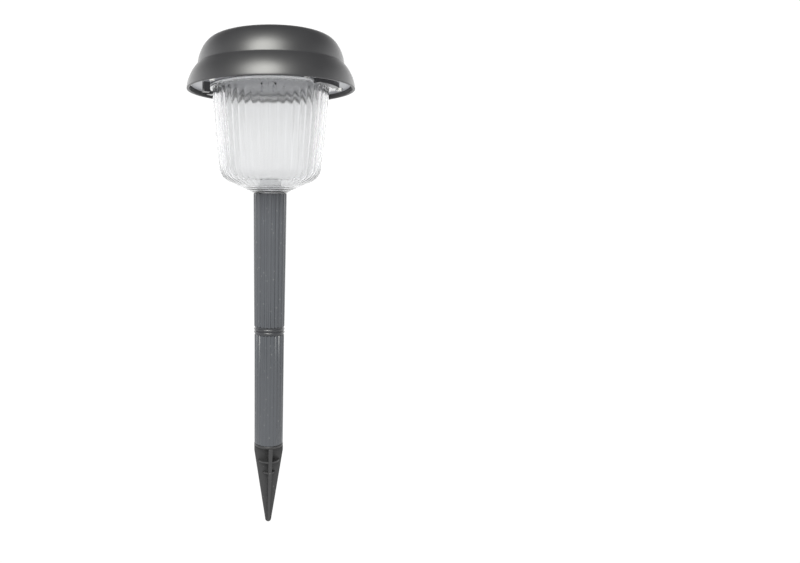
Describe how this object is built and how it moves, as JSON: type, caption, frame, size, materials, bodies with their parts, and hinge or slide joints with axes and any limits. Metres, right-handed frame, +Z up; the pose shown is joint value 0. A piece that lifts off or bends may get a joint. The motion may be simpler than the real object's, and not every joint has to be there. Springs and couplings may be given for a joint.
{
  "type": "solar garden light",
  "caption": "Solar pathway light: two-tier domed cap with a panel on top, ribbed clear bowl, fluted two-piece stake and a finned ground spike.",
  "frame": {"origin": "the tip of the ground spike, on the light's axis", "axes": "+Z up along the stake, -Y the front, +X to the right seen from the front"},
  "size_m": [0.1242, 0.1242, 0.3725],
  "materials": {
    "spike_plastic": "moulded, scuffed matte",
    "stake_plastic": "moulded satin grey",
    "collar_plastic": "moulded satin",
    "clear_plastic": "clear polished plastic",
    "cap_plastic": "satin black",
    "plate_plastic": "semi-gloss black",
    "solar_cell": "dark blue silicon",
    "tinned_ribbon": "tinned",
    "circuit_board": "green solder mask",
    "panel_glass": "clear polished",
    "sealant": "black silicone",
    "screw_steel": "zinc plated",
    "battery_sleeve": "shrink film",
    "plated_contact": "nickel plated",
    "ferrite": "dull ferrite",
    "chip_epoxy": "moulded epoxy",
    "resistor_coat": "lacquer",
    "led_epoxy": "clear epoxy",
    "spacer_plastic": "moulded nylon",
    "switch_case": "stamped, plated",
    "knob_plastic": "moulded",
    "wire_sleeve": "PVC sleeve"
  },
  "bodies": {
    "spike": {"spike": "spike_plastic"},
    "lower_stake": {"lower_tube": "stake_plastic", "coupler": "collar_plastic"},
    "upper_stake": {"upper_tube": "stake_plastic"},
    "lens": {"lens": "clear_plastic"},
    "cap": {"cap_shell": "cap_plastic", "solar_cells": "solar_cell", "cell_ribbons": "tinned_ribbon", "panel_board": "circuit_board", "panel_window": "panel_glass", "panel_seal": "sealant", "base_plate": "plate_plastic", "plate_screws": "screw_steel", "battery": "battery_sleeve", "contact_plates": "plated_contact", "contact_spring": "plated_contact", "circuit_board": "circuit_board", "board_screws": "screw_steel", "inductor": "ferrite", "driver_chip": "chip_epoxy", "resistor": "resistor_coat", "led": "led_epoxy", "led_leads": "tinned_ribbon", "led_spacer": "spacer_plastic", "switch_body": "switch_case", "panel_wires": "wire_sleeve", "battery_wires": "wire_sleeve"},
    "battery_door": {"battery_door": "plate_plastic"},
    "switch_knob": {"switch_knob": "knob_plastic"}
  },
  "joints": [
    {"name": "lower_stake_pull", "type": "slide", "parent": "spike", "child": "lower_stake", "axis": [0, 0, 1], "range_m": [0, 0.024]},
    {"name": "upper_stake_pull", "type": "slide", "parent": "lower_stake", "child": "upper_stake", "axis": [0, 0, 1], "range_m": [0, 0.024]},
    {"name": "lens_pull", "type": "slide", "parent": "upper_stake", "child": "lens", "axis": [0, 0, 1], "range_m": [0, 0.024]},
    {"name": "cap_twist", "type": "hinge", "parent": "lens", "child": "cap", "pos_m": [0, 0, 0.3371], "axis": [0, 0, -1], "range_deg": [0, 32]},
    {"name": "battery_door_hinge", "type": "hinge", "parent": "cap", "child": "battery_door", "pos_m": [0, 0.0242, 0.3391], "axis": [1, 0, 0], "range_deg": [0, 70]},
    {"name": "switch_slide", "type": "slide", "parent": "cap", "child": "switch_knob", "axis": [1, 0, 0], "range_m": [0, 0.003]}
  ]
}
